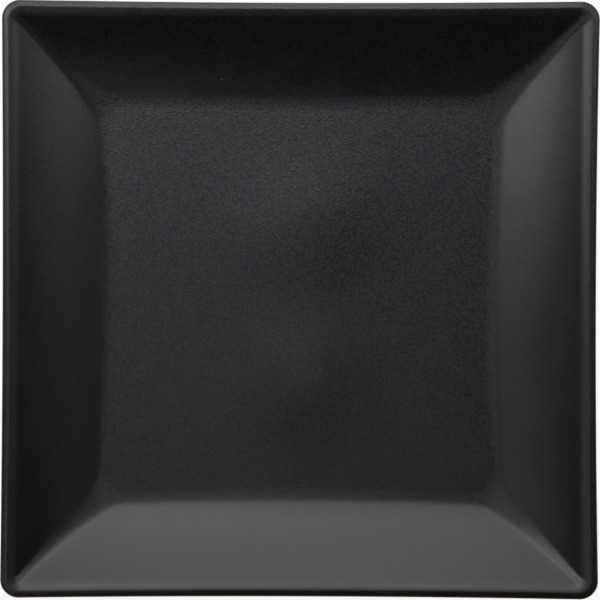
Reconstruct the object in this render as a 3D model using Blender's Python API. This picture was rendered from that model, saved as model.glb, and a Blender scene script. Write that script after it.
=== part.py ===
"""Square stoneware plate: one pressed body with its own foot ring, under two coats of matte glaze.

Lengths are in metres and angles in degrees. +Z is up, and the origin is the middle of the standing
face. Every surface is a loft of rounded-square rings, one ring for each station of a single section.
The section runs from the middle of the well, up the wall and over the lip, then down the outside to
the foot and into the recess under the floor. The glaze coats are parts of that same section moved
outwards, so they follow the clay through any change of size.
"""

import math

import bmesh
import bpy
import numpy as np
from mathutils import Vector

# Overall size, measured over the glaze
PLATE_SIDE = 0.254
PLATE_HEIGHT = 0.0260

# Plan: how far each side is drawn in at its middle, at the rim and at the well's edge
RIM_BOW = 0.0009
WELL_BOW = 0.0025

# Plan: corner radius at five levels, and the width of wall over which the mitre opens into the well
RIM_CORNER_RADIUS = 0.0070
WALL_CORNER_RADIUS = 0.0036
MITRE_CORNER_RADIUS = 0.0070
WELL_CORNER_RADIUS = 0.0120
FOOT_CORNER_RADIUS = 0.0120
MITRE_OPENING = 0.0080

# Section of the clay: floor and wall
WELL_SIDE = 0.1726
WELL_FILLET_RADIUS = 0.028
WALL_START_TILT = 16.0
FLOOR_THICKNESS = 0.0045

# Section of the clay: the lip's shoulder inside its crown, and its sloping land and edge outside
LIP_SHOULDER_RADIUS = 0.0130
LIP_SHOULDER_TILT = 13.5
LIP_LAND = 0.0011
LIP_LAND_TILT = -9.0
LIP_EDGE_RADIUS = 0.00085

# Section of the clay: foot ring, sized at the standing face
FOOT_SIDE = 0.160
FOOT_WIDTH = 0.0050
FOOT_HEIGHT = 0.0035
FOOT_DRAFT = 10.0
FOOT_FILLET_RADIUS = 0.0018
FOOT_EDGE_RADIUS = 0.0010

# Glaze: its coat, the bond under it, and the height above the standing face at which it stops
GLAZE_THICKNESS = 0.0005
BOND_GAP = 0.0003
GLAZE_LINE = 0.0014

# Facets of the rings and of the section's arcs
CORNER_STEPS = 6
SIDE_STEPS = 6
WALL_STEPS = 6
SHOULDER_STEPS = 3
CROWN_STEPS = 2
EDGE_STEPS = 7
FILLET_STEPS = 4

GLAZE_BUILD = BOND_GAP + GLAZE_THICKNESS
CORNER_SHARE = 0.45


def heading_of(step):
    """Angle of a step in the section: outwards is 0, upwards a quarter turn."""
    return math.atan2(step.y, step.x)


def along(heading):
    """Unit step in the section."""
    return Vector((math.cos(heading), math.sin(heading)))


def outward(heading):
    """Unit normal that leaves the clay, which lies to the right of the section's path."""
    return Vector((-math.sin(heading), math.cos(heading)))


def arc(start, end, start_heading, end_heading, steps):
    """Points after the start on the circular arc that turns evenly between two headings."""
    turn = (end_heading - start_heading) / steps
    chords = [along(start_heading + turn * (i + 0.5)) for i in range(steps)]
    whole = sum(chords, Vector((0.0, 0.0)))
    stride = (end - start).length / whole.length
    points = []
    point = start
    for chord in chords:
        point = point + chord * stride
        points.append(point)
    return points


def rounded_corner(before, corner, after, radius):
    """Arc in place of a corner, kept clear of the corners on either side of it."""
    arriving = corner - before
    leaving = after - corner
    start_heading = heading_of(arriving)
    turn = arriving.angle_signed(leaving) * -1.0
    reach = radius * math.tan(abs(turn) / 2.0)
    reach = min(reach, CORNER_SHARE * arriving.length, CORNER_SHARE * leaving.length)
    start = corner - arriving.normalized() * reach
    end = corner + leaving.normalized() * reach
    return [start] + arc(start, end, start_heading, start_heading + turn, FILLET_STEPS)


def read_off(half, knots):
    """Value at a half side, read off between pairs of half side and value."""
    halves, values = zip(*knots)
    return float(np.interp(half, halves, values))


def with_plan(points, radii, bows):
    """Stations (half side, height, corner radius, bow) from the points of the section."""
    return [Vector((p.x, p.y, read_off(p.x, radii), read_off(p.x, bows))) for p in points]


def split_at_height(stations, height):
    """The stations before and after the first place where they cross a height."""
    for i, (a, b) in enumerate(zip(stations, stations[1:])):
        if (a.y - height) * (b.y - height) < 0.0:
            cut = a.lerp(b, (height - a.y) / (b.y - a.y))
            return stations[: i + 1] + [cut], [cut] + stations[i + 1 :]
    return stations, stations[-1:]


def moved_out(stations, distance):
    """The same stations a set distance off the clay, with their corners kept concentric."""
    headings = [heading_of((b - a).xy) for a, b in zip(stations, stations[1:])]
    moved = []
    for i, station in enumerate(stations):
        arriving = outward(headings[max(i - 1, 0)])
        leaving = outward(headings[min(i, len(headings) - 1)])
        mitre = arriving + leaving
        shift = mitre * (2.0 * distance / mitre.length_squared)
        moved.append(station + Vector((shift.x, shift.y, shift.x, 0.0)))
    return moved


def clay_section():
    """The clay's section in three runs: under the glaze coat, bare at the foot, under the base glaze."""
    floor = FOOT_HEIGHT + FLOOR_THICKNESS
    rim_half = PLATE_SIDE / 2.0 - GLAZE_BUILD
    start_tilt = math.radians(WALL_START_TILT)
    shoulder_tilt = math.radians(LIP_SHOULDER_TILT)
    land_tilt = math.radians(LIP_LAND_TILT)

    # A fillet turns the well's floor up into the foot of the wall.
    well_middle = Vector((0.0, floor))
    well_edge = Vector((WELL_SIDE / 2.0, floor))
    reach = WELL_FILLET_RADIUS * math.tan(start_tilt / 2.0)
    well_fillet = [well_edge - along(0.0) * reach]
    wall_start = well_edge + along(start_tilt) * reach
    well_fillet += arc(well_fillet[0], wall_start, 0.0, start_tilt, FILLET_STEPS)

    # Two rounds of one radius, the crown and the outer edge, end the lip's narrow land.
    land = along(land_tilt) * LIP_LAND
    edge_x = rim_half - LIP_EDGE_RADIUS
    crown_centre = Vector((edge_x - land.x, PLATE_HEIGHT - GLAZE_BUILD - LIP_EDGE_RADIUS))
    edge_centre = crown_centre + land
    shoulder_end = crown_centre + outward(shoulder_tilt) * LIP_EDGE_RADIUS
    shoulder_centre = shoulder_end - outward(shoulder_tilt) * LIP_SHOULDER_RADIUS
    land_start = crown_centre + outward(land_tilt) * LIP_EDGE_RADIUS

    # The wall curves up from the fillet and runs on into the lip's shoulder, tilted alike where they meet.
    sunk_start = wall_start - outward(start_tilt) * LIP_SHOULDER_RADIUS
    lip_tilt = 2.0 * heading_of(shoulder_centre - sunk_start) - start_tilt
    wall_top = shoulder_centre + outward(lip_tilt) * LIP_SHOULDER_RADIUS
    wall = arc(wall_start, wall_top, start_tilt, lip_tilt, WALL_STEPS)

    # The lip has a broad shoulder up to its crown, then the land and a tight edge down to the outside.
    lip_end = edge_centre - outward(lip_tilt) * LIP_EDGE_RADIUS
    lip = arc(wall_top, shoulder_end, lip_tilt, shoulder_tilt, SHOULDER_STEPS)
    lip += arc(shoulder_end, land_start, shoulder_tilt, land_tilt, CROWN_STEPS)
    lip += [land_start + land]
    lip += arc(land_start + land, lip_end, land_tilt, lip_tilt - math.pi, EDGE_STEPS)

    # The outside leaves the lip along the wall and comes down to the top of the foot's flank.
    spread = FOOT_HEIGHT * math.tan(math.radians(FOOT_DRAFT))
    outer_toe = Vector((FOOT_SIDE / 2.0, 0.0))
    inner_toe = outer_toe - Vector((FOOT_WIDTH, 0.0))
    outer_top = outer_toe + Vector((spread, FOOT_HEIGHT))
    inner_top = inner_toe + Vector((-spread, FOOT_HEIGHT))
    foot_tilt = 2.0 * heading_of(lip_end - outer_top) - lip_tilt
    outside = arc(lip_end, outer_top, lip_tilt - math.pi, foot_tilt - math.pi, WALL_STEPS)
    recess_middle = Vector((0.0, FOOT_HEIGHT))

    upper = [well_middle] + well_fillet + wall + lip
    lower = outside[:-1]
    lower += rounded_corner(outside[-2], outer_top, outer_toe, FOOT_FILLET_RADIUS)
    lower += rounded_corner(outer_top, outer_toe, inner_toe, FOOT_EDGE_RADIUS)
    lower += rounded_corner(outer_toe, inner_toe, inner_top, FOOT_EDGE_RADIUS)
    lower += rounded_corner(inner_toe, inner_top, recess_middle, FOOT_FILLET_RADIUS)
    lower += [recess_middle]

    # In plan, the mitres open into the well's round corners and the sides bow more towards the well.
    upper_radii = (
        (well_fillet[0].x, WELL_CORNER_RADIUS),
        (wall_start.x + MITRE_OPENING, MITRE_CORNER_RADIUS),
        (wall_top.x, WALL_CORNER_RADIUS),
        (rim_half, RIM_CORNER_RADIUS),
    )
    lower_radii = (
        (inner_toe.x, FOOT_CORNER_RADIUS - FOOT_WIDTH),
        (outer_toe.x, FOOT_CORNER_RADIUS),
        (rim_half, RIM_CORNER_RADIUS),
    )
    upper_bows = ((wall_start.x, WELL_BOW), (wall_top.x, RIM_BOW))
    lower_bows = ((rim_half, RIM_BOW),)
    stations = with_plan(upper, upper_radii, upper_bows) + with_plan(lower, lower_radii, lower_bows)
    glazed, rest = split_at_height(stations, GLAZE_LINE)
    bare, base = split_at_height(rest[1:], GLAZE_LINE)
    return glazed, bare, base


def ring_outline(half, corner, bow):
    """One ring seen from above, anticlockwise: sides that bow inwards, joined by round corners."""
    straight = half - corner
    side = [-1.0 + 2.0 * i / SIDE_STEPS for i in range(SIDE_STEPS)]
    turns = [math.pi / 2.0 * i / CORNER_STEPS for i in range(CORNER_STEPS)]
    quarter = [Vector((half - bow * (1.0 - s * s), straight * s)) for s in side]
    quarter += [Vector((straight, straight)) + along(turn) * corner for turn in turns]
    outline = []
    for _ in range(4):
        outline += quarter
        quarter = [Vector((-p.y, p.x)) for p in quarter]
    return outline


def loft(name, stations, material, collection, origin):
    """A closed body through one ring for each station, with a flat face across either end."""
    bm = bmesh.new()
    rings = []
    for half, height, corner, bow in stations:
        if half > corner:
            outline = ring_outline(half, corner, bow)
            rings.append([bm.verts.new((x, y, height)) for x, y in outline])
    for near, far in zip(rings, rings[1:]):
        for i, vertex in enumerate(near):
            bm.faces.new((near[i - 1], vertex, far[i], far[i - 1]))
    bm.faces.new(rings[0])
    bm.faces.new(rings[-1])
    bmesh.ops.recalc_face_normals(bm, faces=bm.faces)
    mesh = bpy.data.meshes.new(name)
    bm.to_mesh(mesh)
    bm.free()
    mesh.shade_smooth()
    mesh.set_sharp_from_angle(angle=math.radians(40.0))
    mesh.materials.append(material)
    piece = bpy.data.objects.new(name, mesh)
    piece.parent = origin
    collection.objects.link(piece)
    return piece


def make_material(name, colour, roughness):
    """A plain Principled material."""
    material = bpy.data.materials.new(name)
    material.use_nodes = True
    shader = material.node_tree.nodes["Principled BSDF"]
    shader.inputs["Base Color"].default_value = (*colour, 1.0)
    shader.inputs["Roughness"].default_value = roughness
    return material


def build():
    """The three pieces of the plate, hung on one empty at the middle of the standing face."""
    for old in list(bpy.data.objects):
        bpy.data.objects.remove(old)
    collection = bpy.data.collections.new("square_plate")
    bpy.context.scene.collection.children.link(collection)
    origin = bpy.data.objects.new("standing_point", None)
    collection.objects.link(origin)

    clay = make_material("fired_stoneware", (0.42, 0.35, 0.27), 0.8)
    outer_glaze = make_material("matte_black_glaze", (0.012, 0.012, 0.013), 0.5)
    under_glaze = make_material("matte_black_base_glaze", (0.012, 0.012, 0.013), 0.5)

    glazed, bare, base = clay_section()
    body = glazed + bare[:-1] + base
    coat = moved_out(glazed, GLAZE_BUILD) + moved_out(glazed, BOND_GAP)[::-1]
    patch = moved_out(base, GLAZE_BUILD)[::-1] + moved_out(base, BOND_GAP)

    loft("stoneware_body", body, clay, collection, origin)
    loft("glaze_coat", coat, outer_glaze, collection, origin)
    loft("base_glaze", patch, under_glaze, collection, origin)


build()
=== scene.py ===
# %% [markdown]
# # A square plate in satin black stoneware
#
# The plate is one pressed clay body under two coats of black glaze. This lesson dresses the plain
# solids of the frame. Each solid is made again as a fine mesh, then gets a finish that is worked
# out from the real material. Lengths are in metres, +Z is up, and the plate stands at height 0.
#
# The frame is loaded first, because every size and place below is taken from it.

# %% Load the frame
import math

import bpy
import numpy as np
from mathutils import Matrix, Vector


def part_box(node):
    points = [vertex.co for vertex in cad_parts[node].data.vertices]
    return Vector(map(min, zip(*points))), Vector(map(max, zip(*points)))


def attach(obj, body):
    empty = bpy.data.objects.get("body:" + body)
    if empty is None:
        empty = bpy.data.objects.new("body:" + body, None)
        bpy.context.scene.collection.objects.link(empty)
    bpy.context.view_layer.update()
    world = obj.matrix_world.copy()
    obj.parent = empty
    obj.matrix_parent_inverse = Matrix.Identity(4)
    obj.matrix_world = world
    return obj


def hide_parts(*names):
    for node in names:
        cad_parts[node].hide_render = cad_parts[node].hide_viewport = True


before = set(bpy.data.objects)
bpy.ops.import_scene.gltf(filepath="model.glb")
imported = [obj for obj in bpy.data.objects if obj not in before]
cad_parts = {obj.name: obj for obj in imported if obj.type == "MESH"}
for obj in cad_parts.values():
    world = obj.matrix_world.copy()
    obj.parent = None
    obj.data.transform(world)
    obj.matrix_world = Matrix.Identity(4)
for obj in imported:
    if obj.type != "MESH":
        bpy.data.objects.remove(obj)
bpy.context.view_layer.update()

MM = 0.001
print("nodes:", sorted(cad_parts))

# %% [markdown]
# ## The sizes that shape the plate
#
# A potter would call these the template: one section through the clay, and the plan of its rings.
# The side and the height are read from the frame, so the fine meshes fill the same box as the
# solids. The rest repeats the sizes of the solids. Only the glaze differs: the solids keep a gap
# under it, while here it sits close on the clay, as fired glaze does.

# %% Sizes of the plate
coat_low, coat_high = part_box("glaze_coat")
PLATE_HALF = (coat_high.x - coat_low.x) / 2
PLATE_HEIGHT = coat_high.z

GLAZE_BUILD = 0.8 * MM
GLAZE_BOND = 0.05 * MM
GLAZE_LINE = 1.4 * MM

WELL_HALF = 86.3 * MM
WELL_FILLET = 28.0 * MM
WALL_START = math.radians(16.0)
LIP_SHOULDER = 13.0 * MM
SHOULDER_END = math.radians(13.5)
LIP_LAND = 1.1 * MM
LAND_TILT = math.radians(-9.0)
LIP_EDGE = 0.85 * MM
FLOOR_THICKNESS = 4.5 * MM

FOOT_HALF = 80.0 * MM
FOOT_WIDTH = 5.0 * MM
FOOT_HEIGHT = 3.5 * MM
FOOT_DRAFT = math.radians(10.0)
FOOT_FILLET = 1.8 * MM
FOOT_EDGE = 1.0 * MM

RIM_CORNER = 7.0 * MM
WALL_CORNER = 3.6 * MM
MITRE_CORNER = 7.0 * MM
MITRE_OPENING = 8.0 * MM
WELL_CORNER = 12.0 * MM
FOOT_CORNER = 12.0 * MM
print("plate: %.1f mm square, %.1f mm high" % (2 * PLATE_HALF / MM, PLATE_HEIGHT / MM))

# %% [markdown]
# ## The section
#
# Cut the plate through its middle, and one line runs round the cut: across the well, up the
# hollow wall, over the rounded lip, down the outside, round the foot and into the recess under
# the floor. It could be drawn by hand as a curve. Here it is a chain of arcs that meet smoothly,
# because glaze shows every kink as a broken reflection. An arc only needs its two ends and its
# two headings.


# %% Arcs of the section
def along(heading):
    return np.array([math.cos(heading), math.sin(heading)])


def outward(heading):
    return np.array([-math.sin(heading), math.cos(heading)])


def heading_of(step):
    return math.atan2(step[1], step[0])


def arc(start, end, start_heading, end_heading, steps):
    turn = (end_heading - start_heading) / steps
    chords = np.array([along(start_heading + turn * (i + 0.5)) for i in range(steps)])
    path = np.cumsum(chords, axis=0)
    return list(start + path * np.linalg.norm(end - start) / np.linalg.norm(path[-1]))


def rounded_corner(before, corner, after, radius, steps=8):
    first, last = heading_of(corner - before), heading_of(after - corner)
    turn = (last - first + math.pi) % (2 * math.pi) - math.pi
    reach = radius * math.tan(abs(turn) / 2)
    start, end = corner - along(first) * reach, corner + along(last) * reach
    return [start] + arc(start, end, first, first + turn, steps)


def level(first_half, last_half, height, steps):
    return [np.array([half, height]) for half in np.linspace(first_half, last_half, steps)]


quarter_turn = arc(np.zeros(2), np.ones(2), 0, math.pi / 2, steps=4)
print("a quarter turn in %d chords:" % len(quarter_turn), np.round(quarter_turn, 2).tolist())

# %% [markdown]
# The upper line starts at a small ring in the middle of the well. A fillet turns the floor up
# into the wall, and the wall curves on into the lip. The lip isn't a plain half round: inside it
# has a broad shoulder, where a sponge softened the clay, and outside a tighter edge, which the
# mould gave it.

# %% Upper line of the clay
CENTRE = 2.0 * MM
floor_height = FOOT_HEIGHT + FLOOR_THICKNESS
rim_half = PLATE_HALF - GLAZE_BUILD
land = along(LAND_TILT) * LIP_LAND
crown_centre = np.array([rim_half - land[0], PLATE_HEIGHT - GLAZE_BUILD]) - LIP_EDGE
edge_centre = crown_centre + land
shoulder_end = crown_centre + outward(SHOULDER_END) * LIP_EDGE
shoulder_centre = shoulder_end - outward(SHOULDER_END) * LIP_SHOULDER
land_start = crown_centre + outward(LAND_TILT) * LIP_EDGE

fillet_reach = WELL_FILLET * math.tan(WALL_START / 2)
fillet_start = np.array([WELL_HALF - fillet_reach, floor_height])
wall_start = np.array([WELL_HALF, floor_height]) + along(WALL_START) * fillet_reach
sunk_start = wall_start - outward(WALL_START) * LIP_SHOULDER
lip_tilt = 2 * heading_of(shoulder_centre - sunk_start) - WALL_START
wall_top = shoulder_centre + outward(lip_tilt) * LIP_SHOULDER
lip_end = edge_centre - outward(lip_tilt) * LIP_EDGE

upper = level(CENTRE, fillet_start[0], floor_height, steps=30)
upper += arc(fillet_start, wall_start, 0, WALL_START, steps=12)
upper += arc(wall_start, wall_top, WALL_START, lip_tilt, steps=26)
upper += arc(wall_top, shoulder_end, lip_tilt, SHOULDER_END, steps=12)
upper += arc(shoulder_end, land_start, SHOULDER_END, LAND_TILT, steps=8)
upper += arc(land_start + land, lip_end, LAND_TILT, lip_tilt - math.pi, steps=20)
print("wall tilts from %.0f to %.0f degrees" % (math.degrees(WALL_START), math.degrees(lip_tilt)))

# %% [markdown]
# The lower line comes back under the wall to the foot ring that the plate stands on. The foot's
# flanks lean a little, so that the clay leaves its mould, and all of its edges are rounded.
# Inside the ring the line crosses the recess to the middle.

# %% Lower line of the clay
rise = np.array([0, FOOT_HEIGHT])
spread = np.array([FOOT_HEIGHT * math.tan(FOOT_DRAFT), 0])
outer_toe = np.array([FOOT_HALF, 0])
inner_toe = np.array([FOOT_HALF - FOOT_WIDTH, 0])
outer_top, inner_top = outer_toe + rise + spread, inner_toe + rise - spread
foot_tilt = 2 * heading_of(lip_end - outer_top) - lip_tilt

lower = arc(lip_end, outer_top, lip_tilt - math.pi, foot_tilt - math.pi, steps=30)[:-2]
lower += rounded_corner(lower[-1], outer_top, outer_toe, FOOT_FILLET)
lower += rounded_corner(outer_top, outer_toe, inner_toe, FOOT_EDGE)
lower += rounded_corner(outer_toe, inner_toe, inner_top, FOOT_EDGE)
lower += rounded_corner(inner_toe, inner_top, rise, FOOT_FILLET)
lower += level(lower[-1][0], CENTRE, FOOT_HEIGHT, steps=12)[1:]
print("underside leaves the foot at %.0f degrees" % math.degrees(foot_tilt))

# %% [markdown]
# ## The plan
#
# Seen from above, each point of the section becomes a ring: a square with round corners whose
# sides are drawn in at the middle, because clay shrinks most between stiff corners. The four
# sides differ a little, as they do on the real plate, and the well is drawn in more than the rim.
# A station holds what one ring needs: its half side, its height, its corner radius and its share
# of the well's bow.

# %% Stations of the clay
upper_halves = [p[0] for p in upper]
lower_halves = [p[0] for p in lower]
upper_corners = np.interp(
    upper_halves,
    (0, fillet_start[0], wall_start[0] + MITRE_OPENING, wall_top[0], rim_half),
    (0, WELL_CORNER, MITRE_CORNER, WALL_CORNER, RIM_CORNER),
)
lower_corners = np.interp(
    lower_halves,
    (0, inner_toe[0], FOOT_HALF, rim_half),
    (0, FOOT_CORNER - FOOT_WIDTH, FOOT_CORNER, RIM_CORNER),
)
upper_share = np.interp(upper_halves, (wall_start[0], wall_top[0]), (1, 0))
upper_line = np.column_stack([np.array(upper), upper_corners, upper_share])
lower_line = np.column_stack([np.array(lower), lower_corners, np.zeros(len(lower))])
clay = np.vstack([upper_line, lower_line])
print("section: %d stations" % len(clay))

# %% [markdown]
# Glaze is a skin on the clay, so its faces are the same stations moved off the clay by a set
# distance. The coat runs from the well, over the lip and down the outside to the glaze line, just
# above the standing face. A second patch covers the recess. Between them the foot is left bare,
# because glaze there would stick to the kiln shelf.


# %% Stations moved off the clay
def moved_out(stations, distance):
    steps = np.diff(stations[:, :2], axis=0)
    normals = np.column_stack([-steps[:, 1], steps[:, 0]]) / np.linalg.norm(steps, axis=1)[:, None]
    mitre = np.vstack([normals[:1], normals]) + np.vstack([normals, normals[-1:]])
    shift = mitre * (2 * distance / np.sum(mitre**2, axis=1))[:, None]
    return stations + np.column_stack([shift, shift[:, 0], np.zeros(len(stations))])


def split_at(stations, height):
    over = stations[:, 1] > height
    i = int(np.argmax(over[:-1] != over[1:]))
    share = (height - stations[i, 1]) / (stations[i + 1, 1] - stations[i, 1])
    cut = stations[i] + (stations[i + 1] - stations[i]) * share
    return np.vstack([stations[: i + 1], cut]), np.vstack([cut, stations[i + 1 :]])


glazed, rest = split_at(clay, GLAZE_LINE)
bare, base = split_at(rest[1:], GLAZE_LINE)
coat_outer, coat_inner = moved_out(glazed, GLAZE_BUILD), moved_out(glazed, GLAZE_BOND)
patch_outer, patch_inner = moved_out(base, GLAZE_BUILD), moved_out(base, GLAZE_BOND)
print("glazed stations: %d in the coat, %d in the base patch" % (len(glazed), len(base)))

# %% [markdown]
# Where a coat stops, surface tension pulls the molten glaze into a rounded edge. A half round
# closes each coat there, from its outer face to its inner one.


# %% Rolled edges of the glaze
def rolled_edge(outer_end, inner_end, steps=6):
    middle = (outer_end + inner_end) / 2
    radius = np.linalg.norm((outer_end - inner_end)[:2]) / 2
    first = heading_of((outer_end - inner_end)[:2])
    turns = [first - math.pi * i / steps for i in range(1, steps)]
    swings = [np.array([math.cos(t), math.sin(t), math.cos(t), 0]) for t in turns]
    return np.array([middle + radius * swing for swing in swings])


coat_edge = rolled_edge(coat_outer[-1], coat_inner[-1])
patch_edge = rolled_edge(patch_inner[0], patch_outer[0])[::-1]
coat_stations = np.vstack([coat_outer, coat_edge, coat_inner[::-1]])
patch_stations = np.vstack([patch_outer[::-1], patch_edge, patch_inner])
body_stations = np.vstack([glazed, bare[:-1], base])
counts = (len(coat_stations), len(patch_stations), len(body_stations))
print("stations: coat %d, base patch %d, body %d" % counts)

# %% [markdown]
# ## An uneven floor
#
# A pressed floor is never dead flat: it lifts slightly where the clay is slow to dry. On this
# plate two low mounds lie behind each other on the well's middle line. Each is under two
# millimetres high, yet it shows, because satin glaze turns a slope of one degree into a clear
# change of tone. A bump texture could shade such mounds, but real height also shows from a low
# angle. Each row below gives a mound's place to the right and to the back of the middle, its
# spread and its height.

# %% Mounds in the well
MOUNDS = (
    (1.5 * MM, 31.0 * MM, 19.5 * MM, 1.9 * MM),
    (2.5 * MM, -33.0 * MM, 17.0 * MM, 1.6 * MM),
)


def mound_height(x, y):
    total = 0
    for right, back, spread, height in MOUNDS:
        total = total + height * np.exp(-((x - right) ** 2 + (y - back) ** 2) / (2 * spread**2))
    return total


print("mound in the middle of the well: %.2f mm" % (float(mound_height(0, 0)) / MM))

# %% [markdown]
# ## Rings and lofts
#
# A piece is a loft: faces join each ring to the next, and the two end rings are capped. It could
# be a square that is extruded and bevelled, but then the mitred corners, which are sharp at the
# lip and open out towards the well, would have to be pulled into shape by hand. All three pieces
# share these rings, so the glaze follows the clay everywhere.

# %% Rings
RIM_BOWS = np.array([1.25, 0.90, 0.64, 0.93]) * MM
WELL_BOWS = np.array([3.4, 1.4, 3.4, 2.0]) * MM
SIDE_POINTS, CORNER_POINTS = 40, 18


def ring(half, height, corner, share):
    straight = half - corner
    run = np.linspace(-1, 1, SIDE_POINTS, endpoint=False)
    swing = np.linspace(0, math.pi / 2, CORNER_POINTS, endpoint=False)
    bows = (RIM_BOWS + (WELL_BOWS - RIM_BOWS) * share) * min(1, half / WELL_HALF)
    outline = []
    for side, bow in enumerate(bows):
        x = np.concatenate([half - bow * (1 - run**2), straight + corner * np.cos(swing)])
        y = np.concatenate([straight * run, straight + corner * np.sin(swing)])
        turn = along(side * math.pi / 2)
        outline.append(np.column_stack([x * turn[0] - y * turn[1], x * turn[1] + y * turn[0]]))
    outline = np.vstack(outline)
    heights = height + share * mound_height(outline[:, 0], outline[:, 1])
    return np.column_stack([outline, heights])


print("ring: %d points" % len(ring(*clay[0])))


# %% Lofts
def loft(name, stations, node):
    rings = [ring(*station) for station in stations]
    count = len(rings[0])
    faces = []
    for near in range(0, count * (len(rings) - 1), count):
        for i in range(count):
            j = (i + 1) % count
            faces.append((near + j, near + i, near + count + i, near + count + j))
    faces.append(tuple(range(count)))
    faces.append(tuple(reversed(range(count * (len(rings) - 1), count * len(rings)))))
    mesh = bpy.data.meshes.new(name)
    mesh.from_pydata(np.vstack(rings).tolist(), [], faces)
    mesh.shade_smooth()
    piece = bpy.data.objects.new(name, mesh)
    bpy.context.scene.collection.objects.link(piece)
    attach(piece, "root")
    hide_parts(node)
    print("%s: %d faces" % (name, len(faces)))
    return piece


coat = loft("black_glaze_coat", coat_stations, "glaze_coat")
patch = loft("black_base_glaze", patch_stations, "base_glaze")
body = loft("clay_body", body_stations, "stoneware_body")

# %% [markdown]
# ## Helpers for the finishes
#
# Colours are written as sRGB hex, as a colour picker shows them, and one function turns them into
# the linear numbers that shaders use. One more function adds a node, sets it up and links it.
# Patterns are placed by object coordinates, which are in metres here, so a pattern's scale is
# simply one divided by the real size of its grains. Noise seldom leaves the range from 0.3 to
# 0.7, so that is the range that gets stretched where a pattern should use all of its tones.


# %% Colours and nodes
def colour(code):
    parts = [int(code[i : i + 2], 16) / 255 for i in (1, 3, 5)]
    return [p / 12.92 if p <= 0.04045 else ((p + 0.055) / 1.055) ** 2.4 for p in parts] + [1.0]


def add_node(tree, kind, settings=(), **sockets):
    made = tree.nodes.new(kind)
    for name, value in dict(settings).items():
        setattr(made, name, value)
    for name, value in sockets.items():
        key = int(name[1:]) if name[1:].isdigit() else name.replace("_", " ")
        if isinstance(value, bpy.types.NodeSocket):
            tree.links.new(value, made.inputs[key])
        else:
            made.inputs[key].default_value = value
    return made.outputs[0]


def new_finish(name):
    finish = bpy.data.materials.new(name)
    finish.use_nodes = True
    tree = finish.node_tree
    place = tree.nodes.new("ShaderNodeTexCoord").outputs["Object"]
    return finish, tree, place, tree.nodes["Principled BSDF"]


SMOOTH = {"interpolation_type": "SMOOTHSTEP"}
NOISE_LOW, NOISE_HIGH = 0.3, 0.7
print("white turns into", [round(c, 3) for c in colour("#ffffff")])

# %% [markdown]
# ## Satin black glaze
#
# The glaze is an iron and manganese black that was cooled slowly, so its surface froze as a felt
# of fine crystals. That gives the eye three things. The black is deep, with a faint violet cast
# and soft mottling where the glaze flowed. The sheen is satin: a lamp shows as a broad glow and
# never as a sharp shape, which is a roughness near 0.28 at the usual IOR of 1.5 for glass. And
# the well looks grainy, because each crystal stands a little proud and is drawn a shade darker or
# paler than the next. These shades are partly the crystals' own tone and partly painted glints.
# Real crystals are a few tenths of a millimetre wide. They are drawn coarser and higher here, so
# that the grain shows in a picture of the whole plate.

# %% Sizes in the glaze
GLAZE_DARK, GLAZE_LIGHT = "#030304", "#262329"
GLAZE_THIN = "#1d1917"
SPECK = "#5a585c"
SHEEN_CAST = "#fdfaff"

CRYSTAL, CRYSTAL_HEIGHT = 0.62 * MM, 0.07 * MM
SHADE_LOW, SHADE_HIGH = 0.4, 0.6
MOTTLE, MOTTLE_DARK, MOTTLE_LIGHT = 9.0 * MM, 0.34, 0.50
ORANGE_PEEL, PEEL_HEIGHT = 4.0 * MM, 0.012 * MM
SPECK_SPACING, SPECK_RADIUS, SPECK_CORE = 16.0 * MM, 0.35 * MM, 0.175 * MM
SATIN, SATIN_RANGE, SATIN_PATCH = 0.285, 0.016, 18.0 * MM
print("crystals drawn %.2f mm across" % (CRYSTAL / MM))

# %% [markdown]
# Molten glaze runs off slopes and edges. It lies thick on level ground, where the crystals grow
# large, and the walls keep only a trace of the grain. Towards the back the grain is drawn stronger
# still, in relief and in shade, and there its shades are painted glints, where the lamps behind
# the plate catch the crystals. Near the lip's crown and just above the glaze line the glaze is
# thin, and the brown of the clay begins to show through. A painted mask could mark these places,
# but height, slope and the distance from the front find them without one.

# %% Thin glaze, and the grain with its painted glints
THIN_LIP, THIN_FOOT = 1.2 * MM, 1.5 * MM
LEVEL, STEEP = math.cos(math.radians(1.5)), math.cos(math.radians(12.0))
STEEP_SHARE, FRONT_SHARE = 0.3, 0.45


def thin_glaze_and_glints(tree, place):
    spot = add_node(tree, "ShaderNodeSeparateXYZ", Vector=place).node.outputs
    lip = add_node(tree, "ShaderNodeMapRange", SMOOTH, Value=spot["Z"],
                   From_Min=PLATE_HEIGHT - THIN_LIP, From_Max=PLATE_HEIGHT)
    foot = add_node(tree, "ShaderNodeMapRange", SMOOTH, Value=spot["Z"],
                    From_Min=GLAZE_LINE + THIN_FOOT, From_Max=GLAZE_LINE)
    thin = add_node(tree, "ShaderNodeMath", {"operation": "MAXIMUM"}, _0=lip, _1=foot)

    normal = tree.nodes.new("ShaderNodeNewGeometry").outputs["Normal"]
    facing = add_node(tree, "ShaderNodeSeparateXYZ", Vector=normal).node.outputs
    lying = add_node(tree, "ShaderNodeMapRange", SMOOTH, Value=facing["Z"],
                     From_Min=STEEP, From_Max=LEVEL, To_Min=STEEP_SHARE)
    # Stronger towards the back. In the colour this is a painted glint, where the lamps behind the
    # plate catch the crystals.
    grain_and_glints_to_back = add_node(tree, "ShaderNodeMapRange", Value=spot["Y"],
                      From_Min=-WELL_HALF, From_Max=WELL_HALF, To_Min=FRONT_SHARE)
    grain_and_glints = add_node(tree, "ShaderNodeMath", {"operation": "MULTIPLY"}, _0=lying, _1=grain_and_glints_to_back)
    return thin, grain_and_glints


print("glaze thins out over the top %.1f mm of the lip" % (THIN_LIP / MM))
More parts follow.
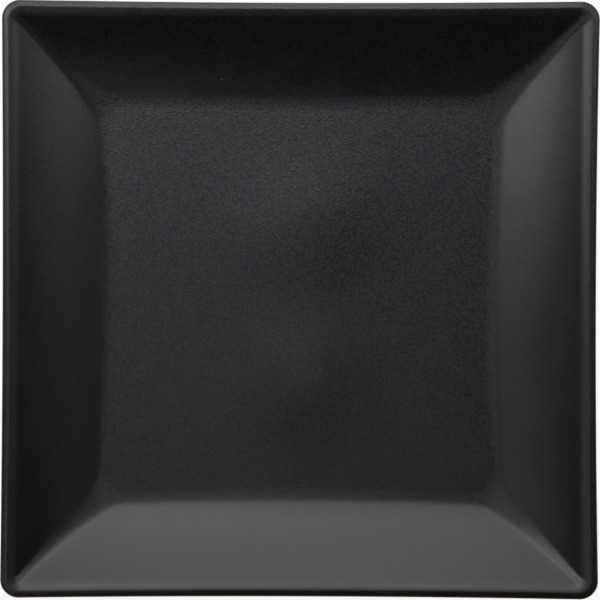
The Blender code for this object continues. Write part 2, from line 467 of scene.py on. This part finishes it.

# %% [markdown]
# The colour is built up in layers. Soft mottling comes first, and each crystal adds a shade to
# it, partly its own tone and partly a painted glint, most of all where the grain is drawn strong.
# Thin glaze is mixed with brown, broken up by the mottling. A few pale specks, where dust settled
# in the glaze, come last.


# %% Colour of the glaze
def glaze_colour(tree, place, crystals, thin, grain_and_glints):
    # Each crystal's shade is partly its own tone and partly a painted glint.
    own_shade = add_node(tree, "ShaderNodeMapRange", Value=crystals.node.outputs["Color"],
                         From_Min=SHADE_LOW, From_Max=SHADE_HIGH, To_Min=-0.5, To_Max=0.5)
    flow = add_node(tree, "ShaderNodeTexNoise", Vector=place, Scale=1 / MOTTLE,
                    Detail=5.0, Roughness=0.6)
    mottle = add_node(tree, "ShaderNodeMapRange", Value=flow, From_Min=NOISE_LOW,
                      From_Max=NOISE_HIGH, To_Min=MOTTLE_DARK, To_Max=MOTTLE_LIGHT)
    shade = add_node(tree, "ShaderNodeMath", {"operation": "MULTIPLY_ADD"},
                     _0=own_shade, _1=grain_and_glints, _2=mottle)
    black = add_node(tree, "ShaderNodeMixRGB", Fac=shade,
                     Color1=colour(GLAZE_DARK), Color2=colour(GLAZE_LIGHT))
    broken = add_node(tree, "ShaderNodeMath", {"operation": "MULTIPLY"}, _0=thin, _1=flow)
    browned = add_node(tree, "ShaderNodeMixRGB", Fac=broken,
                       Color1=black, Color2=colour(GLAZE_THIN))
    cells = add_node(tree, "ShaderNodeTexVoronoi", Vector=place, Scale=1 / SPECK_SPACING)
    speck = add_node(tree, "ShaderNodeMapRange", SMOOTH, Value=cells,
                     From_Min=SPECK_RADIUS / SPECK_SPACING, From_Max=SPECK_CORE / SPECK_SPACING)
    return add_node(tree, "ShaderNodeMixRGB", Fac=speck, Color1=browned, Color2=colour(SPECK))


print("glaze from %s to %s, thin glaze %s" % (GLAZE_DARK, GLAZE_LIGHT, GLAZE_THIN))

# %% [markdown]
# The sheen wanders a little from patch to patch, and is drier where the glaze is thin. The relief
# adds two heights in metres: fine crystals on broad orange peel, the slight waviness that glaze
# keeps when it sets.


# %% Sheen and relief of the glaze
def glaze_sheen(tree, place, thin):
    patches = add_node(tree, "ShaderNodeTexNoise", Vector=place, Scale=1 / SATIN_PATCH, Detail=3.0)
    satin = add_node(tree, "ShaderNodeMapRange", Value=patches, From_Min=NOISE_LOW,
                     From_Max=NOISE_HIGH, To_Min=SATIN - SATIN_RANGE / 2,
                     To_Max=SATIN + SATIN_RANGE / 2)
    return add_node(tree, "ShaderNodeMath", {"operation": "MULTIPLY_ADD"},
                    _0=thin, _1=SATIN_RANGE, _2=satin)


def glaze_relief(tree, place, crystals, grain_and_glints):
    peel = add_node(tree, "ShaderNodeTexNoise", Vector=place, Scale=1 / ORANGE_PEEL, Detail=1.0)
    swell = add_node(tree, "ShaderNodeMath", {"operation": "MULTIPLY"}, _0=peel, _1=PEEL_HEIGHT)
    grown = add_node(tree, "ShaderNodeMath", {"operation": "MULTIPLY"},
                     _0=grain_and_glints, _1=CRYSTAL_HEIGHT)
    relief = add_node(tree, "ShaderNodeMath", {"operation": "MULTIPLY_ADD"},
                      _0=crystals, _1=grown, _2=swell)
    return add_node(tree, "ShaderNodeBump", Height=relief, Distance=1.0)


print("roughness %.3f, give or take %.3f" % (SATIN, SATIN_RANGE / 2))


# %% Glaze on the coat and on the base
def satin_black_glaze(name):
    finish, tree, place, shader = new_finish(name)
    thin, grain_and_glints = thin_glaze_and_glints(tree, place)
    crystals = add_node(tree, "ShaderNodeTexVoronoi", Vector=place, Scale=1 / CRYSTAL)
    tree.links.new(glaze_colour(tree, place, crystals, thin, grain_and_glints), shader.inputs["Base Color"])
    tree.links.new(glaze_sheen(tree, place, thin), shader.inputs["Roughness"])
    tree.links.new(glaze_relief(tree, place, crystals, grain_and_glints), shader.inputs["Normal"])
    shader.inputs["Specular Tint"].default_value = colour(SHEEN_CAST)
    return finish


coat.data.materials.append(satin_black_glaze("satin_black_glaze"))
patch.data.materials.append(satin_black_glaze("satin_black_glaze_on_the_base"))
print("glazed:", coat.name, "and", patch.name)

# %% [markdown]
# ## Bare stoneware
#
# The clay shows only on the foot, where the glaze was wiped off before firing. It is a buff
# stoneware, fired hard but not glassy, so it is dull. It holds fine sand and specks of iron that
# burnt brown. The standing face has been rubbed smooth so that it doesn't scratch a table, and
# that rubbing makes it a little greyer and less rough than the flanks.

# %% Sizes in the clay
CLAY_PALE, CLAY_DARK, CLAY_RUBBED = "#b9a68a", "#98826a", "#a59a8a"
IRON = "#4b3423"
CLAY_PATCH = 6.0 * MM
SAND, SAND_HEIGHT = 0.5 * MM, 0.03 * MM
IRON_SPACING, IRON_RADIUS, IRON_CORE = 3.2 * MM, 0.4 * MM, 0.16 * MM
RUBBED_HEIGHT, RUBBED_TINT = 0.3 * MM, 0.5
DULL, RUBBED_DULL = 0.85, 0.6
print("clay speck every %.1f mm or so" % (IRON_SPACING / MM))


# %% Bare stoneware
def bare_stoneware(name):
    finish, tree, place, shader = new_finish(name)
    spot = add_node(tree, "ShaderNodeSeparateXYZ", Vector=place).node.outputs
    rubbed = add_node(tree, "ShaderNodeMapRange", SMOOTH, Value=spot["Z"],
                      From_Min=RUBBED_HEIGHT, From_Max=0.0)

    # Colour: cloudy buff clay, greyer where it is rubbed, with specks of iron.
    cloud = add_node(tree, "ShaderNodeTexNoise", Vector=place, Scale=1 / CLAY_PATCH,
                     Detail=6.0, Roughness=0.65)
    buff = add_node(tree, "ShaderNodeMixRGB", Fac=cloud,
                    Color1=colour(CLAY_DARK), Color2=colour(CLAY_PALE))
    tint = add_node(tree, "ShaderNodeMath", {"operation": "MULTIPLY"}, _0=rubbed, _1=RUBBED_TINT)
    toned = add_node(tree, "ShaderNodeMixRGB", Fac=tint, Color1=buff, Color2=colour(CLAY_RUBBED))
    cells = add_node(tree, "ShaderNodeTexVoronoi", Vector=place, Scale=1 / IRON_SPACING)
    speck = add_node(tree, "ShaderNodeMapRange", SMOOTH, Value=cells,
                     From_Min=IRON_RADIUS / IRON_SPACING, From_Max=IRON_CORE / IRON_SPACING)
    specked = add_node(tree, "ShaderNodeMixRGB", Fac=speck, Color1=toned, Color2=colour(IRON))
    tree.links.new(specked, shader.inputs["Base Color"])

    # Dullness, and sand as a height in metres.
    dull = add_node(tree, "ShaderNodeMapRange", Value=rubbed, To_Min=DULL, To_Max=RUBBED_DULL)
    tree.links.new(dull, shader.inputs["Roughness"])
    sand = add_node(tree, "ShaderNodeTexNoise", Vector=place, Scale=1 / SAND, Detail=3.0)
    relief = add_node(tree, "ShaderNodeMath", {"operation": "MULTIPLY"}, _0=sand, _1=SAND_HEIGHT)
    bumpy = add_node(tree, "ShaderNodeBump", Height=relief, Distance=1.0)
    tree.links.new(bumpy, shader.inputs["Normal"])
    return finish


body.data.materials.append(bare_stoneware("bare_buff_stoneware"))
print("left bare:", body.name)

# %% [markdown]
# ## Floor
#
# The photograph has a clean white ground right up to the plate, so the floor is a wide round
# sheet of white paper. It lies a hair below the foot, so that the two faces don't fight for one
# place.

# %% White floor
FLOOR_RADIUS, FLOOR_POINTS = 20.0, 96
HAIR = 0.05 * MM

bpy.ops.mesh.primitive_circle_add(vertices=FLOOR_POINTS, radius=FLOOR_RADIUS, fill_type="NGON",
                                  location=(0, 0, -HAIR))
floor = bpy.context.object
floor.name = "white_floor"
print("floor: %.0f m across" % (2 * FLOOR_RADIUS))

# %% [markdown]
# Under this light, paper alone would come out grey. More lamps would whiten it, but they would
# light the plate too. Instead the paper glows where the camera sees it, and a small share stays
# plain paper, which takes the plate's soft shadow. In reflections it glows much less: the paper
# close under the rim lies in the plate's own shadow, and a full glow there would make the black
# outside look silver.

# %% Glowing paper
PAPER, PAPER_DULL = "#f4f4f4", 0.9
WHITE = "#ffffff"
GLOW_SHARE, MIRRORED_SHARE = 0.92, 0.2

paper, tree, _, shader = new_finish("matte_white_paper")
shader.inputs["Base Color"].default_value = colour(PAPER)
shader.inputs["Roughness"].default_value = PAPER_DULL
rays = tree.nodes.new("ShaderNodeLightPath").outputs
direct = add_node(tree, "ShaderNodeMath", {"operation": "MAXIMUM"},
                  _0=rays["Is Camera Ray"], _1=rays["Is Transmission Ray"])
straight = add_node(tree, "ShaderNodeMath", {"operation": "MULTIPLY"}, _0=direct, _1=GLOW_SHARE)
mirrored = add_node(tree, "ShaderNodeMath", {"operation": "MULTIPLY"},
                    _0=rays["Is Glossy Ray"], _1=MIRRORED_SHARE)
share = add_node(tree, "ShaderNodeMath", {"operation": "MAXIMUM"}, _0=straight, _1=mirrored)
glow = add_node(tree, "ShaderNodeEmission", Color=colour(WHITE), Strength=1.0)
blend = add_node(tree, "ShaderNodeMixShader", Fac=share, _1=shader.outputs[0], _2=glow)
tree.links.new(blend, tree.nodes["Material Output"].inputs["Surface"])
floor.data.materials.append(paper)
print("paper: %.0f%% glow" % (100 * GLOW_SHARE))

# %% [markdown]
# ## Light
#
# Black glaze shows its surroundings more than its own colour, so the light is built like a tent
# of white cloth panels about 0.9 m from the plate. The large ones stand behind it and fill the
# wall at the front. Narrower ones on either side of them fade along the left and right walls. The
# front of the tent stays open and dark, which is why the wall at the back is the darkest part of
# the plate. Small panels overhead tone the well, most of all on the left, and draw out its
# mounds.
#
# A panel's brightness is that of its cloth, where 1 would photograph as white. Its azimuth is
# counted in degrees from the back, clockwise as seen from above, and its elevation up from the
# floor.

# %% Cloth panels
TENT_RADIUS = 0.9
PANELS = (
    # name, azimuth, elevation, width, height, brightness
    ("back", 0, 38, 0.50, 1.15, 2.3),
    ("back_peak", 0, 63, 0.30, 0.18, 0.65),
    ("back_left", -34, 38, 0.40, 1.15, 1.05),
    ("left_back", -60, 52, 0.32, 0.62, 2.0),
    ("left_back_low", -60, 42, 0.32, 0.50, 1.5),
    ("back_right", 34, 38, 0.40, 1.15, 0.5),
    ("right_back", 60, 38, 0.34, 0.70, 1.4),
    ("left_front", -128, 52, 0.45, 0.60, 0.6),
    ("right", 112, 57, 0.55, 0.26, 0.15),
    ("over_back", 0, 74, 0.18, 0.14, 0.5),
    ("over_left_back", -45, 83, 0.09, 0.11, 1.6),
    ("over_left_front", -135, 83, 0.09, 0.11, 2.7),
    ("over_right", 90, 83, 0.09, 0.11, 0.8),
    ("over_right_front", 135, 83, 0.09, 0.11, 1.4),
)


def cloth_panel(name, azimuth, elevation, width, height, brightness):
    lamp = bpy.data.lights.new(name + "_panel", "AREA")
    lamp.shape = "RECTANGLE"
    lamp.size, lamp.size_y = width, height
    lamp.energy = brightness * math.pi * width * height
    panel = bpy.data.objects.new(lamp.name, lamp)
    a, e = math.radians(azimuth), math.radians(elevation)
    away = Vector((math.sin(a) * math.cos(e), math.cos(a) * math.cos(e), math.sin(e)))
    panel.location = away * TENT_RADIUS
    panel.rotation_euler = away.to_track_quat("Z", "Y").to_euler()
    panel.visible_camera = False
    bpy.context.scene.collection.objects.link(panel)
    return lamp.energy


power = [cloth_panel(*row) for row in PANELS]
print("%d panels, %.1f W in all" % (len(power), sum(power)))

# %% [markdown]
# The room beyond the tent is dim overhead and paler near the floor, as a studio with light walls
# is. Seen from above the plate mirrors only the dim part. From a low angle it mirrors the pale
# walls, and so the glaze keeps its sheen all round. What the camera sees of the room itself is a
# plain white. That white isn't shown to reflections, because the plate has no metal or glass, and
# a white room would put far more light on the black glaze.

# %% Room
CEILING, WALLS = "#202020", "#a0a0a0"
WALL_LOW, WALL_HIGH = math.sin(math.radians(5.0)), math.sin(math.radians(18.0))

world = bpy.context.scene.world or bpy.data.worlds.new("studio_room")
bpy.context.scene.world = world
world.use_nodes = True
tree = world.node_tree
direction = tree.nodes.new("ShaderNodeTexCoord").outputs["Generated"]
upward = add_node(tree, "ShaderNodeSeparateXYZ", Vector=direction).node.outputs["Z"]
high = add_node(tree, "ShaderNodeMapRange", Value=upward, From_Min=WALL_LOW, From_Max=WALL_HIGH)
room = add_node(tree, "ShaderNodeMixRGB", Fac=high, Color1=colour(WALLS), Color2=colour(CEILING))
rays = tree.nodes.new("ShaderNodeLightPath").outputs
direct = add_node(tree, "ShaderNodeMath", {"operation": "MAXIMUM"},
                  _0=rays["Is Camera Ray"], _1=rays["Is Transmission Ray"])
shown = add_node(tree, "ShaderNodeMixRGB", Fac=direct, Color1=room, Color2=colour(WHITE))
tree.links.new(shown, tree.nodes["Background"].inputs["Color"])
print("room: ceiling %s, walls %s" % (CEILING, WALLS))

# %% [markdown]
# ## Camera
#
# The photograph looks straight down on the plate, which fills the frame and is turned by a fifth
# of a degree. The camera stands well back, because the outside of the plate doesn't show past the
# lip and the well is hardly smaller than its true share of the rim. The lens follows from that
# height and from the share of the picture that the plate fills.

# %% Camera
CAMERA_HEIGHT = 1.2
PICTURE, PLATE_IN_PICTURE = 600, 597.9
CAMERA_ASIDE = (0.0 * MM, -0.15 * MM)
SENSOR = 36.0
PLATE_TURN = math.radians(0.19)

camera_data = bpy.data.cameras.new("camera")
camera = bpy.data.objects.new("camera", camera_data)
view_width = 2 * PLATE_HALF * PICTURE / PLATE_IN_PICTURE
camera_data.sensor_width = SENSOR
camera_data.lens = SENSOR * (CAMERA_HEIGHT - edge_centre[1]) / view_width
camera.location = (*CAMERA_ASIDE, CAMERA_HEIGHT)
camera.rotation_euler = (0, 0, PLATE_TURN)
bpy.context.scene.collection.objects.link(camera)
bpy.context.scene.camera = camera
bpy.context.scene.view_settings.view_transform = "Standard"
print("lens %.0f mm" % camera_data.lens)
